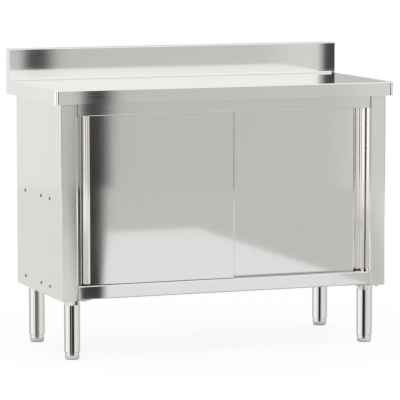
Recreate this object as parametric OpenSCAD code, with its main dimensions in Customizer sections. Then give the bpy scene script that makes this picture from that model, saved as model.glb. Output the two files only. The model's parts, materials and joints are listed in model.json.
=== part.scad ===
// Stainless steel work table: a closed base cabinet with a middle shelf, two sliding
// doors hung on rollers, a worktop with a rear upstand, and four tube legs with
// adjustable feet. Millimetres, +X along the length, +Y to the back, +Z up. The origin
// lies on the floor under the middle of the worktop.

/* [Worktop] */
// Length of the worktop, left to right
top_l = 1150; // [1000:10:1400]
// Depth of the worktop, front to back, with the upstand
top_d = 525; // [480:5:600]
// Height of the work surface above the floor
top_h = 855; // [820:5:900]
// Height of the folded front and side edges
edge_h = 44; // [36:1:50]
// Radius of the two upright front corners
corner_r = 12; // [8:1:20]
// Height of the upstand above the work surface
splash_h = 103; // [60:1:150]
// Depth of the hollow upstand
splash_d = 38; // [28:1:50]
// Thickness of the worktop sheet
top_t = 1.5; // [1:0.1:2]
// Outer radius of the folds in the worktop
top_bend = 3; // [2.5:0.5:5]

/* [Cabinet] */
// Overhang of the worktop past each side of the cabinet
side_overhang = 22; // [15:1:40]
// Overhang of the worktop past the front of the cabinet
front_overhang = 12; // [8:1:20]
// Width of the folded front posts
post_w = 55; // [45:1:60]
// Radius of the fold between a post's front and its inner return
post_bend = 5; // [2.5:0.5:6]
// Depth of the inner return of each post
post_d = 55; // [54:1:60]
// Height of the apron below the doors
apron_h = 42.5; // [35:0.5:50]
// Height of the underside of the posts above the floor
body_z = 191.5; // [180:0.5:220]
// Height that the upper rail shows below the worktop's edge
rail_show = 39; // [30:1:50]
// Thickness of the cabinet sheet
sheet = 1.2; // [1:0.1:1.5]
// Height of the middle shelf's surface above the floor
shelf_z = 518; // [450:1:600]

/* [Doors] */
// Gap between a closed door and its post
door_gap = 0.8; // [0.5:0.1:3]
// Overlap of the two closed doors at the middle
door_overlap = 68; // [50:2:90]
// Thickness of a door
door_t = 18; // [18:1:19]
// Air gap between the two doors
door_air = 4; // [3:0.5:5]
// Distance from the cabinet's front to the front door's face
door_setback = 13.5; // [12:0.5:15]
// Thickness of the door sheet
skin_t = 1; // [0.8:0.1:1.2]
// Width of the finger groove
groove_w = 25; // [22:1:30]
// Depth of the finger groove
groove_d = 14; // [10:1:14]
// Width of the groove's sloping side, which faces the door's edge
groove_slope = 14; // [6:1:14]
// Distance from the door's edge to its groove
groove_u = 14.7; // [12:0.1:25]
// Travel of each door
door_travel = 460; // [300:10:460]

/* [Rollers] */
// Radius of a roller
roller_r = 10; // [8:0.5:10]
// Width of a roller
roller_w = 5; // [4:0.5:5]
// Outer width of a door track
track_w = 21; // [21:0.5:21.5]
// Outer height of a door track
track_h = 28; // [27:1:30]
// Width of the slot along the underside of a track
track_slot = 6; // [5:0.5:7]

/* [Legs] */
// Outer diameter of a leg tube
tube_d = 50.8; // [45:0.1:54]
// Wall thickness of a leg tube
tube_t = 1.5; // [1:0.1:2]
// Distance from the cabinet's faces to a leg's centre
leg_in = 50; // [50:1:55]
// Side of a square leg plate
plate_w = 97; // [90:1:97]
// Thickness of a leg plate
plate_t = 3; // [2:0.5:4]
// Diameter of a foot
foot_d = 46; // [40:0.5:47]
// Height of a foot that shows below its tube
foot_show = 25; // [20:1:40]
// Diameter of a foot's threaded stud
stud_d = 12; // [10:1:16]

/* [Hidden] */
$fn = 48;

// Worktop
half_l = top_l / 2;
half_d = top_d / 2;
top_under = top_h - top_t;
edge_z = top_h - edge_h;
splash_y = half_d - splash_d;
lip_w = corner_r;
cove_r = 6;
stud_ys = [-120, 0, 120];
stud_l = 14;
hat_h = 26;
hat_w = 40;

// Cabinet
side_x = half_l - side_overhang;
front_y = -half_d + front_overhang;
back_y = splash_y;
post_x = side_x - post_w;
apron_z = body_z + plate_t;
deck_z = apron_z + apron_h;
rail_z = edge_z - rail_show;
flange_w = 20;
post_lip = 12;
post_hem = 12;
bend_r = 2.5;
fold_h = 25;
nose_h = 30;
nose_lip = 10;
butt_gap = 0.3;
header_d = 58;
header_lip = 10;
channel_t = 1.5;
rib_r = 18;
rib_depth = 4;
rib_end = 40;
stud_x = side_x - flange_w / 2 - 2;

// Screws that hold the two shelves to the side panels
screw_ys = [-130, -38, 131];
shelf_screw_z = shelf_z - 13;
deck_screw_z = deck_z - 12;
screw_hole_l = 5;

// Doors
door_x = post_x - door_gap;
door_w = door_x + door_overlap / 2;
door_z = deck_z + 4;
door_top = rail_z + 18;
front_door_y = front_y + door_setback;
rear_door_y = front_door_y + door_t + door_air;
lip = 8;
liner_v = door_t - 2 * skin_t;
mid_v = door_t / 2;
guide_slot = 6;
slot_v = mid_v + guide_slot / 2;
hem_v = mid_v - guide_slot / 2;
channel_h = 16;
inner_u = groove_u + groove_w + skin_t;
groove_ease = 8;

// Rollers, hangers and tracks
track_top = top_under - sheet;
track_z = track_top - track_h;
axle_z = track_z + sheet + 0.3 + roller_r;
axle_r = 2.5;
bore_r = axle_r + 0.05;
roller_gap = 0.5;
hanger_t = 2;
hanger_w = 30;
hanger_eye_r = 7;
hanger_foot_l = 50;
hanger_us = [70, door_w - 70];
hanger_screw_us = [-19, 19];
hanger_screw_v = mid_v + 2.5;
track_bend = 1.8;
track_screw_xs = [-450, -150, 150, 450];
stop_l = 20;
stop_gap = roller_r + 0.5;

// Legs
leg_x = side_x - leg_in;
leg_front_y = front_y + leg_in;
leg_rear_y = back_y - leg_in;
plate_z = body_z;
tube_r = tube_d / 2;
tube_in_r = tube_r - tube_t;
bolt_in = 30;
foot_top = foot_show + 5;
foot_up = 5;
insert_z = foot_top + foot_up + 1;
insert_h = 30;

// Fasteners: shank radii, hole radii, head radii and hexagon sizes over the corners
small_r = 2;
small_head_r = 3.8;
shelf_screw_r = 2.5;
shelf_hole_r = 2.75;
shelf_nut_d = 9.2;
rivet_r = 1.6;
rivet_hole_r = 1.65;
bolt_r = 4;
bolt_hole_r = 4.25;
bolt_hex_d = 15;

// ---- Folded sheet -------------------------------------------------------------

// Unit vector along v
function unit(v) = v / norm(v);

// Radius of bend i, from one value or a list of them
function radius_at(r, i) = is_list(r) ? r[i] : r;

// Arc that replaces corner b, between neighbours a and c, as steps + 1 points
function bend(a, b, c, r, steps) =
    let (
        u = unit(a - b),
        w = unit(c - b),
        half = acos(u * w) / 2,
        start = b + u * r / tan(half),
        centre = b + unit(u + w) * r / sin(half),
        turn = cross(u, w) > 0 ? -1 : 1,
        sweep = turn * (180 - 2 * half),
        arm = start - centre
    )
    [for (k = [0 : steps])
        let (t = sweep * k / steps)
        centre + [arm.x * cos(t) - arm.y * sin(t), arm.x * sin(t) + arm.y * cos(t)]];

// Path p with every inner corner bent to radius r
function bent(p, r, steps = 4) = concat(
    [p[0]],
    [for (i = [1 : len(p) - 2]) each bend(p[i - 1], p[i], p[i + 1], radius_at(r, i), steps)],
    [p[len(p) - 1]]
);

// Left-hand normal of the segment from a to b
function left_of(a, b) = let (d = unit(b - a)) [-d.y, d.x];

// Path p moved to its left by t, with mitred corners
function beside(p, t) =
    let (last = len(p) - 1)
    [for (i = [0 : last])
        let (
            n1 = left_of(p[max(i - 1, 0)], p[max(i, 1)]),
            n2 = left_of(p[min(i, last - 1)], p[min(i + 1, last)]),
            m = unit(n1 + n2)
        )
        p[i] + m * t / (m * n1)];

// Reversed copy of list p
function reversed(p) = [for (i = [len(p) - 1 : -1 : 0]) p[i]];

// Cross-section of a sheet of thickness t folded along path p, laid to its left
module folded(p, t, r = bend_r) {
    path = bent(p, r);
    polygon(concat(path, reversed(beside(path, t))));
}

// Extrudes a (y, z) section along X from x0 to x1
module along_x(x0, x1) {
    translate([x0, 0, 0])
        rotate([90, 0, 90])
            linear_extrude(x1 - x0) children();
}

// Extrudes an (x, z) section along Y from y0 to y1
module along_y(y0, y1) {
    translate([0, y1, 0])
        rotate([90, 0, 0])
            linear_extrude(y1 - y0) children();
}

// Extrudes an (x, y) section along Z from z0 to z1
module along_z(z0, z1) {
    translate([0, 0, z0])
        linear_extrude(z1 - z0) children();
}

// Box between two corners
module box(a, b) {
    translate(a) cube(b - a);
}

// Rectangle w by h from the origin, with its corners rounded
module rounded(w, h, r) {
    translate([r, 0]) square([w - 2 * r, h]);
    translate([0, r]) square([w, h - 2 * r]);
    for (x = [r, w - r], y = [r, h - r]) translate([x, y]) circle(r);
}

// ---- Worktop ------------------------------------------------------------------

// Section of the folded edge: x runs outward from the corner's centre, y is the height
module edge_section() {
    difference() {
        edge_outline(0);
        edge_outline(top_t);
    }
}

// Outline of the edge, set in by d on its outer and upper sides and open at the middle
module edge_outline(d) {
    r = top_bend - d;
    w = corner_r - d;
    low = d == 0 ? -edge_h : -edge_h + top_t;
    left = d == 0 ? 0 : -1;
    translate([left, low]) square([w - left, -d - r - low]);
    translate([left, -d - r]) square([w - r - left, r]);
    intersection() {
        translate([w - r, -d - r]) circle(r);
        translate([w - r, -d - r]) square(r);
    }
}

// Closed outline of the upstand from the lower edge to its top, set in by d
module splash_outline(d) {
    low = edge_z + (d == 0 ? 0 : -1);
    high = top_h + splash_h - d;
    translate([splash_y + d, low])
        difference() {
            square([splash_d - 2 * d, high - low]);
            for (side = [0, 1])
                translate([side * (splash_d - 2 * d), high - low])
                    mirror([side, 0])
                        translate([0, -(top_bend - d)])
                            difference() {
                                translate([-1, 0]) square([top_bend - d + 1, top_bend - d + 1]);
                                translate([top_bend - d, 0]) circle(top_bend - d);
                            }
        }
}

// Folded wall of the upstand along its length
module splash_wall() {
    difference() {
        splash_outline(0);
        splash_outline(top_t);
        translate([splash_y - 1, edge_z - 1]) square([top_t + 2, edge_h + 1 - top_t]);
    }
}

module worktop() {
    color("gainsboro") {
        // flat surface
        box([-half_l + corner_r, -half_d + corner_r, top_under],
            [half_l - corner_r, splash_y + top_t, top_h]);
        // front edge
        along_x(-half_l + corner_r, half_l - corner_r)
            translate([-half_d + corner_r, top_h]) mirror([1, 0]) edge_section();
        for (side = [-1, 1]) {
            // side edge
            scale([side, 1, 1])
                along_y(-half_d + corner_r, splash_y + top_t)
                    translate([half_l - corner_r, top_h]) edge_section();
            // rounded front corner
            translate([side * (half_l - corner_r), -half_d + corner_r, top_h])
                rotate([0, 0, side > 0 ? -90 : 180])
                    rotate_extrude(angle = 90) edge_section();
            // welded end of the upstand
            scale([side, 1, 1])
                along_x(half_l - top_t, half_l) splash_outline(0);
            // welded studs for the cabinet
            for (y = stud_ys)
                translate([side * stud_x, y, top_under - stud_l])
                    cylinder(r = shelf_screw_r, h = stud_l);
        }
        // upstand, its cove and the lip under its back
        along_x(-half_l + top_t, half_l - top_t) splash_wall();
        along_x(-half_l + corner_r, half_l - corner_r)
            translate([splash_y, top_h])
                difference() {
                    translate([-cove_r, 0]) square(cove_r);
                    translate([-cove_r, cove_r]) circle(cove_r);
                }
        box([-half_l, half_d - lip_w, edge_z], [half_l, half_d, edge_z + top_t]);
    }
}

// Flanged nuts on the worktop's studs
module worktop_nuts() {
    color("silver")
        for (x = [-stud_x, stud_x], y = stud_ys)
            translate([x, y, top_under - sheet - 5])
                difference() {
                    union() {
                        cylinder(d = shelf_nut_d, h = 5, $fn = 6);
                        translate([0, 0, 4]) cylinder(r = 5.5, h = 1);
                    }
                    translate([0, 0, -1]) cylinder(r = shelf_screw_r, h = 7);
                }
}

// Hat-section stiffener of height h, reaching x to each side, flanges up against z at y
module hat(x, y, z, h, w) {
    brim = 15;
    along_x(-x, x)
        translate([y, z])
            folded([[-w / 2 - brim, 0], [-w / 2, 0], [-w / 2, -h], [w / 2, -h],
                    [w / 2, 0], [w / 2 + brim, 0]], -sheet, 2);
}

module top_channel_front() {
    color("darkgray") hat(side_x - flange_w - 3, -120, top_under, hat_h, hat_w);
}

module top_channel_rear() {
    color("darkgray") hat(side_x - flange_w - 3, 110, top_under, hat_h, hat_w);
}

// ---- Cabinet ------------------------------------------------------------------

// Plan of the left side panel: rear flange, side and front post. The post's front turns
// inward over depth, or stops where that fold would start if depth is 0
module side_plan(depth) {
    flat = [[-side_x + flange_w, back_y], [-side_x, back_y], [-side_x, front_y],
            [-post_x - post_bend, front_y]];
    turned = [[-side_x + flange_w, back_y], [-side_x, back_y], [-side_x, front_y],
              [-post_x, front_y], [-post_x, front_y + depth]];
    hem = depth < post_d ? [] : [[-post_x - post_hem, front_y + depth]];
    radii = [0, bend_r, bend_r, post_bend, bend_r, 0];
    folded(depth == 0 ? flat : concat(turned, hem), sheet, radii);
}

// Left side panel with its post, top flange and fixing holes
module side_panel() {
    difference() {
        union() {
            along_z(body_z, deck_z + 1) side_plan(0);
            along_z(apron_z + butt_gap, deck_z - sheet - butt_gap) side_plan(post_lip);
            along_z(deck_z, top_under) side_plan(post_d);
            box([-side_x + sheet / 2, front_y + post_d + 2, top_under - sheet],
                [-side_x + flange_w, back_y - 2 * sheet, top_under]);
        }
        shelf_screw_holes(-side_x - 1, 3);
        for (y = stud_ys)
            translate([-stud_x, y, top_under - sheet - 1])
                cylinder(r = shelf_hole_r, h = sheet + 2);
        rivet_holes();
    }
}

// Holes along X for the screws of both shelves, from x, l long
module shelf_screw_holes(x, l) {
    for (y = screw_ys, z = [shelf_screw_z, deck_screw_z])
        translate([x, y, z]) rotate([0, 90, 0]) cylinder(r = shelf_hole_r, h = l);
}

// Holes for the rivets that hold the back panel
module rivet_holes() {
    for (z = rivet_zs())
        translate([-rivet_x(), back_y - 4, z])
            rotate([-90, 0, 0]) cylinder(r = rivet_hole_r, h = 6);
}

// Heights of the rivets, evenly spaced up the rear flange
function rivet_zs() = [for (i = [0 : 4]) deck_z + 60 + i * (top_under - deck_z - 120) / 4];

// Distance of the rivets from the middle of the table
function rivet_x() = side_x - flange_w / 2;

module side_panel_left() {
    color("lightgray") side_panel();
}

module side_panel_right() {
    color("lightgray") mirror([1, 0, 0]) side_panel();
}

// Back panel inside the rear flanges, with pressed upright ribs above and below the shelf
module back_panel() {
    y0 = back_y - 2 * sheet;
    x0 = side_x - bend_r - butt_gap;
    color("lightgray")
        difference() {
            union() {
                box([-x0, y0, apron_z + butt_gap], [x0, y0 + sheet, top_under]);
                for (x = [-x0 / 2, x0 / 2])
                    translate([x, 0, 0]) {
                        along_z(deck_z + rib_end, shelf_z - rib_end) rib_section(y0);
                        along_z(shelf_z + rib_end, top_under - rib_end) rib_section(y0);
                    }
            }
            rivet_holes();
            mirror([1, 0, 0]) rivet_holes();
        }
}

// Shallow rounded rib pressed forward out of the back panel
module rib_section(y0) {
    intersection() {
        translate([0, y0 + rib_r - rib_depth]) circle(rib_r);
        translate([-rib_r, y0 - rib_depth]) square([2 * rib_r, rib_depth + sheet / 2]);
    }
}

module back_rivets() {
    color("silver")
        for (x = [-rivet_x(), rivet_x()], z = rivet_zs())
            translate([x, back_y - 2 * sheet, z])
                rotate([-90, 0, 0]) {
                    translate([0, 0, -1.6]) cylinder(r = 2.4, h = 1.6);
                    cylinder(r = rivet_r, h = 2 * sheet);
                    translate([0, 0, 2 * sheet]) cylinder(r1 = 3.2, r2 = 2.2, h = 1.3);
                }
}

// Bottom shelf: one sheet whose front folds down into the apron
module bottom_shelf() {
    rear_y = back_y - 2 * sheet - 0.2;
    wide_x = side_x - sheet;
    apron_x = post_x - butt_gap;
    color("gainsboro")
        difference() {
            union() {
                along_x(-apron_x, apron_x)
                    folded([[front_y + 15, apron_z], [front_y, apron_z], [front_y, deck_z],
                            [rear_y, deck_z], [rear_y, deck_z - fold_h]], -sheet);
                for (side = [-1, 1])
                    scale([side, 1, 1])
                        along_y(front_y + bend_r + 0.5, rear_y - sheet)
                            folded([[wide_x, deck_z - fold_h], [wide_x, deck_z],
                                    [apron_x - 40, deck_z]], sheet);
            }
            shelf_screw_holes(-side_x, screw_hole_l);
            mirror([1, 0, 0]) shelf_screw_holes(-side_x, screw_hole_l);
            for (p = guide_screw_points())
                translate([p.x, p.y, deck_z - 3]) cylinder(r = small_r, h = 4);
        }
}

// Front and rear limits of the middle shelf, between the front posts and the back panel
function shelf_ys() = [front_y + post_d + 6, back_y - 2 * sheet - 0.2];

// Middle shelf: sheet whose front folds down and back, and whose rear folds down
module middle_shelf() {
    front = shelf_ys()[0];
    rear = shelf_ys()[1];
    half = side_x - sheet - butt_gap;
    color("gainsboro")
        along_x(-half, half)
            folded([[front + nose_lip, shelf_z - nose_h], [front, shelf_z - nose_h],
                    [front, shelf_z], [rear, shelf_z], [rear, shelf_z - fold_h]], -sheet);
}

// Angle brackets on the side panels that carry the ends of the middle shelf
module shelf_brackets() {
    wall_x = side_x - sheet;
    top_z = shelf_z - sheet;
    color("darkgray")
        for (side = [-1, 1])
            scale([side, 1, 1])
                difference() {
                    along_y(shelf_ys()[0] + fold_h / 2, shelf_ys()[1] - fold_h / 2)
                        folded([[wall_x, top_z - fold_h], [wall_x, top_z],
                                [wall_x - fold_h, top_z]], sheet);
                    mirror([1, 0, 0]) shelf_screw_holes(-side_x, screw_hole_l);
                }
}

module shelf_channel() {
    color("darkgray") hat(side_x - 30, 10, shelf_z - sheet, hat_h - 2, hat_w + 10);
}

// Folded channel under the bottom shelf that carries the two leg plates of one side
module base_channel() {
    outer_x = side_x - 10;
    inner_x = side_x - leg_in - plate_w / 2 - 0.5;
    color("darkgray")
        difference() {
            along_y(front_y + 16.5, back_y - 6)
                folded([[-outer_x, deck_z - sheet], [-outer_x, apron_z],
                        [-inner_x, apron_z], [-inner_x, deck_z - sheet]], channel_t);
            for (y = [leg_front_y, leg_rear_y], dx = [-bolt_in, bolt_in], dy = [-bolt_in, bolt_in])
                translate([-leg_x + dx, y + dy, apron_z - 1]) cylinder(r = bolt_hole_r, h = 4);
        }
}

module base_channel_left() {
    base_channel();
}

module base_channel_right() {
    mirror([1, 0, 0]) base_channel();
}

// Pan-head screws through the side panels into the shelves
module side_screws() {
    color("silver")
        for (side = [-1, 1], y = screw_ys, z = [shelf_screw_z, deck_screw_z])
            translate([side * side_x, y, z])
                rotate([0, side * 90, 0]) {
                    translate([0, 0, -9]) cylinder(r = shelf_screw_r, h = 9);
                    rotate_extrude()
                        intersection() {
                            translate([0, -4.5]) circle(7);
                            square([5, 3]);
                        }
                }
}

module side_nuts() {
    color("silver")
        for (side = [-1, 1], y = screw_ys, z = [shelf_screw_z, deck_screw_z])
            translate([side * (side_x - 2 * sheet), y, z])
                rotate([0, -side * 90, 0])
                    difference() {
                        cylinder(d = shelf_nut_d, h = 4, $fn = 6);
                        translate([0, 0, -1]) cylinder(r = shelf_screw_r, h = 6);
                    }
}

// Rail above the doors, with a deep top flange that carries both tracks
module front_rail() {
    rail_x = post_x - butt_gap;
    color("gainsboro")
        difference() {
            along_x(-rail_x, rail_x)
                folded([[front_y + header_lip, rail_z], [front_y, rail_z],
                        [front_y, top_under], [front_y + header_d, top_under]], -sheet);
            for (y = track_ys(), x = track_screw_xs)
                translate([x, y, top_under - 4]) cylinder(r = small_r, h = 6);
        }
}

// ---- Tracks and floor guide ---------------------------------------------------

// Middle planes of the front and rear tracks
function track_ys() = [front_door_y + mid_v, rear_door_y + mid_v];

// Lipped track, open along its underside
module track(y) {
    w = track_w / 2;
    s = track_slot / 2;
    difference() {
        along_x(-post_x + 0.5, post_x - 0.5)
            translate([y, track_z])
                folded([[-s, 0], [-w, 0], [-w, track_h], [w, track_h], [w, 0], [s, 0]],
                       -sheet, track_bend);
        for (x = track_screw_xs)
            translate([x, y, track_top - 3]) cylinder(r = small_r, h = 4);
    }
}

module track_front() {
    color("silver") track(track_ys()[0]);
}

module track_rear() {
    color("silver") track(track_ys()[1]);
}

module track_screws() {
    color("dimgray")
        for (y = track_ys(), x = track_screw_xs)
            translate([x, y, track_top - sheet]) {
                cylinder(r = small_r, h = 2 * sheet);
                translate([0, 0, -2.2]) cylinder(r = small_head_r, h = 2.2);
            }
}

// Rubber stops that end the travel of both doors
module track_stops() {
    near = door_x - hanger_us[0] + stop_gap;
    far = -door_x + hanger_us[1] + door_travel + stop_gap;
    color("dimgray")
        for (i = [0, 1])
            scale([i == 0 ? 1 : -1, 1, 1]) {
                track_stop(-near - stop_l, track_ys()[i]);
                track_stop(far, track_ys()[i]);
            }
}

// One stop, from x, in the track at y
module track_stop(x, y) {
    w = track_w / 2 - track_bend;
    box([x, y - w, track_z + sheet], [x + stop_l, y + w, track_top - sheet - 4]);
}

// Places of the two screws in the floor guide
function guide_screw_points() =
    [[-21, track_ys()[0] + 3], [21, track_ys()[1] - 3]];

// Nylon guide on the bottom shelf: one fin runs in the channel of each door
module floor_guide() {
    fin_t = guide_slot - 2;
    fin_l = 18;
    fin_x = 12;
    base_h = 2.5;
    color("whitesmoke")
        difference() {
            union() {
                translate([-32, track_ys()[0] - 6, deck_z])
                    linear_extrude(base_h) rounded(64, track_ys()[1] - track_ys()[0] + 12, 4);
                for (i = [0, 1])
                    translate([i == 0 ? fin_x : -fin_x - fin_l, track_ys()[i] - fin_t / 2, deck_z])
                        cube([fin_l, fin_t, channel_h - 2]);
            }
            for (p = guide_screw_points())
                translate([p.x, p.y, deck_z - 1]) {
                    cylinder(r = small_r, h = 5);
                    translate([0, 0, 2.2]) cylinder(r = small_head_r + 0.2, h = 3);
                }
        }
}

module guide_screws() {
    color("silver")
        for (p = guide_screw_points())
            translate([p.x, p.y, deck_z]) {
                translate([0, 0, -6]) cylinder(r = small_r - 0.05, h = 7.4);
                translate([0, 0, 1.2]) cylinder(r = small_head_r, h = 1.2);
            }
}

// ---- Legs ---------------------------------------------------------------------

// Places the left front leg's parts at the leg named by its signs
module at_leg(sx, sy) {
    translate([sx * leg_x, sy < 0 ? leg_front_y : leg_rear_y, 0]) children();
}

module leg_plate(sx, sy) {
    color("silver")
        at_leg(sx, sy)
            translate([0, 0, plate_z])
                difference() {
                    translate([-plate_w / 2, -plate_w / 2, 0])
                        linear_extrude(plate_t) rounded(plate_w, plate_w, 6);
                    for (x = [-bolt_in, bolt_in], y = [-bolt_in, bolt_in])
                        translate([x, y, -1]) cylinder(r = bolt_hole_r, h = plate_t + 2);
                }
}

module leg_tube(sx, sy) {
    color("gainsboro")
        at_leg(sx, sy)
            translate([0, 0, foot_show])
                rotate_extrude($fn = 96)
                    difference() {
                        translate([tube_in_r, 0]) square([tube_t, plate_z - foot_show]);
                        translate([tube_r - 0.6, -1]) square([1, 1.6]);
                    }
}

// Threaded nylon plug pressed into the tube
module leg_insert(sx, sy) {
    color("dimgray")
        at_leg(sx, sy)
            translate([0, 0, insert_z])
                difference() {
                    cylinder(r = tube_in_r - 0.02, h = insert_h, $fn = 64);
                    translate([0, 0, -1]) cylinder(r = stud_d / 2 + 0.05, h = insert_h + 2);
                    for (a = [0 : 60 : 300])
                        rotate([0, 0, a])
                            translate([15, 0, 8]) cylinder(r = 4, h = insert_h);
                }
}

// Foot: turned body with a rounded sole edge, on a threaded stud
module foot(sx, sy) {
    r = foot_d / 2;
    sole_r = 4;
    color("gainsboro")
        at_leg(sx, sy) {
            rotate_extrude($fn = 96) {
                square([r - sole_r, foot_top]);
                translate([0, sole_r]) square([r, foot_top - sole_r - 1]);
                square([r - 1, foot_top]);
                translate([r - sole_r, sole_r])
                    intersection() {
                        circle(sole_r);
                        translate([0, -sole_r]) square(sole_r);
                    }
            }
            cylinder(d = stud_d, h = foot_top + 65);
        }
}

// Hexagon bolts under the leg plates
module leg_bolts() {
    color("silver") each_leg_bolt() {
        translate([0, 0, plate_z - 5.3]) cylinder(d = bolt_hex_d, h = 5.3, $fn = 6);
        translate([0, 0, plate_z - 1]) cylinder(r = bolt_r, h = 15);
    }
}

module leg_nuts() {
    color("silver") each_leg_bolt()
        translate([0, 0, apron_z + channel_t])
            difference() {
                cylinder(d = bolt_hex_d, h = 6.5, $fn = 6);
                translate([0, 0, -1]) cylinder(r = bolt_r, h = 9);
            }
}

// Repeats its children at the four bolts of each leg
module each_leg_bolt() {
    for (sx = [-1, 1], sy = [-1, 1])
        at_leg(sx, sy)
            for (x = [-bolt_in, bolt_in], y = [-bolt_in, bolt_in])
                translate([x, y, 0]) children();
}

module leg_plate_front_left() {
    leg_plate(-1, -1);
}

module leg_plate_front_right() {
    leg_plate(1, -1);
}

module leg_plate_rear_left() {
    leg_plate(-1, 1);
}

module leg_plate_rear_right() {
    leg_plate(1, 1);
}

module leg_tube_front_left() {
    leg_tube(-1, -1);
}

module leg_tube_front_right() {
    leg_tube(1, -1);
}

module leg_tube_rear_left() {
    leg_tube(-1, 1);
}

module leg_tube_rear_right() {
    leg_tube(1, 1);
}

module leg_insert_front_left() {
    leg_insert(-1, -1);
}

module leg_insert_front_right() {
    leg_insert(1, -1);
}

module leg_insert_rear_left() {
    leg_insert(-1, 1);
}

module leg_insert_rear_right() {
    leg_insert(1, 1);
}

module foot_front_left() {
    foot(-1, -1);
}

module foot_front_right() {
    foot(1, -1);
}

module foot_rear_left() {
    foot(-1, 1);
}

module foot_rear_right() {
    foot(1, 1);
}

// ---- Doors --------------------------------------------------------------------

// The left door's own frame: x from its outer edge, y from its face to the back
module left_door() {
    translate([-door_x, front_door_y, 0]) children();
}

// The right door mirrors the left one and hangs in the rear track
module right_door() {
    mirror([1, 0, 0]) translate([-door_x, rear_door_y, 0]) children();
}

// Front sheet with the finger groove, side returns and hems at top and bottom
module door_skin() {
    g0 = groove_u;
    g1 = groove_u + groove_w;
    path = [[lip, door_t], [0, door_t], [0, 0], [g0, 0], [g0, groove_d],
            [g1 - groove_slope, groove_d], [g1, 0], [door_w, 0], [door_w, door_t],
            [door_w - lip, door_t]];
    radii = [0, 2, 3, 2.5, 2.5, 2.5, groove_ease, 5, 2, 0];
    color("gainsboro") {
        along_z(door_z, door_top) folded(path, skin_t, radii);
        for (z = [door_z, door_top - skin_t])
            box([g1 + 3, skin_t / 2, z], [door_w - 5, hem_v, z + skin_t]);
    }
}

// Inner pan that closes the back, top and bottom of the door
module door_liner() {
    u0 = skin_t + 1.2;
    u1 = door_w - u0;
    color("lightgray")
        difference() {
            union() {
                box([u0, liner_v, door_z], [u1, liner_v + skin_t, door_top]);
                box([inner_u + 2, slot_v, door_z], [u1 - 4, liner_v + 0.5, door_z + skin_t]);
                box([inner_u + 2, hem_v, door_top - skin_t], [u1 - 4, liner_v + 0.5, door_top]);
            }
            for (u = hanger_us, du = hanger_screw_us)
                translate([u + du, hanger_screw_v, door_top - 2]) cylinder(r = small_r, h = 3);
        }
}

// Channel inside the lower edge that runs over the floor guide's fin
module door_channel() {
    s = guide_slot / 2 + skin_t;
    color("silver")
        along_x(inner_u + 2, door_w - 6)
            translate([mid_v, door_z + skin_t])
                folded([[-s, 0], [-s, channel_h], [s, channel_h], [s, 0]], -skin_t, 1.5);
}

// Hanger plate with its foot, and the hole for the axle
module door_hanger(i) {
    color("silver")
        translate([hanger_us[i], 0, door_top])
            difference() {
                union() {
                    box([-hanger_foot_l / 2, mid_v - hanger_t / 2, 0],
                        [hanger_foot_l / 2, mid_v + 6.5, hanger_t]);
                    translate([0, mid_v + hanger_t / 2, 0])
                        rotate([90, 0, 0])
                            linear_extrude(hanger_t) hanger_outline();
                }
                for (du = hanger_screw_us)
                    translate([du, hanger_screw_v, -1]) cylinder(r = small_r, h = 4);
                translate([0, mid_v + 5, axle_z - door_top])
                    rotate([90, 0, 0]) cylinder(r = axle_r, h = 10);
            }
}

// Upright plate: wide at the foot, narrow through the track's slot, round at the axle
module hanger_outline() {
    high = axle_z - door_top;
    wide_h = high - 30;
    neck_h = high - 14;
    w = hanger_w / 2;
    neck_w = hanger_eye_r;
    translate([-w, 0]) square([2 * w, wide_h]);
    polygon([[-w, wide_h], [w, wide_h], [neck_w, neck_h], [-neck_w, neck_h]]);
    translate([-neck_w, neck_h]) square([2 * neck_w, high - neck_h]);
    translate([0, high]) circle(hanger_eye_r);
}

module door_screws() {
    color("dimgray")
        for (u = hanger_us, du = hanger_screw_us)
            translate([u + du, hanger_screw_v, door_top]) {
                translate([0, 0, -5]) cylinder(r = small_r, h = 7.5);
                translate([0, 0, hanger_t]) cylinder(r = small_head_r - 0.4, h = 2.2);
            }
}

// Riveted axles, headed at both ends
module door_axles() {
    half = hanger_t / 2 + roller_gap + roller_w + 0.3;
    color("silver")
        for (u = hanger_us)
            translate([u, mid_v, axle_z])
                rotate([90, 0, 0]) {
                    translate([0, 0, -half]) cylinder(r = axle_r, h = 2 * half);
                    for (side = [0, 1])
                        mirror([0, 0, side])
                            translate([0, 0, half]) cylinder(r1 = 3.6, r2 = 3, h = 1);
                }
}

// Two nylon rollers of one hanger, either side of its plate
module door_rollers(i) {
    inner = hanger_t / 2 + roller_gap;
    color("whitesmoke")
        translate([hanger_us[i], mid_v, axle_z])
            rotate([90, 0, 0])
                for (side = [0, 1])
                    mirror([0, 0, side])
                        translate([0, 0, inner])
                            rotate_extrude($fn = 64)
                                difference() {
                                    translate([bore_r, 0]) square([roller_r - bore_r, roller_w]);
                                    for (y = [-0.7, roller_w - 0.3])
                                        translate([5, y]) square([3, 1]);
                                }
}

module door_left_skin() {
    left_door() door_skin();
}

module door_left_liner() {
    left_door() door_liner();
}

module door_left_channel() {
    left_door() door_channel();
}

module door_left_hanger_outer() {
    left_door() door_hanger(0);
}

module door_left_hanger_inner() {
    left_door() door_hanger(1);
}

module door_left_screws() {
    left_door() door_screws();
}

module door_left_axles() {
    left_door() door_axles();
}

module door_left_rollers_outer() {
    left_door() door_rollers(0);
}

module door_left_rollers_inner() {
    left_door() door_rollers(1);
}

module door_right_skin() {
    right_door() door_skin();
}

module door_right_liner() {
    right_door() door_liner();
}

module door_right_channel() {
    right_door() door_channel();
}

module door_right_hanger_outer() {
    right_door() door_hanger(0);
}

module door_right_hanger_inner() {
    right_door() door_hanger(1);
}

module door_right_screws() {
    right_door() door_screws();
}

module door_right_axles() {
    right_door() door_axles();
}

module door_right_rollers_outer() {
    right_door() door_rollers(0);
}

module door_right_rollers_inner() {
    right_door() door_rollers(1);
}

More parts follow.
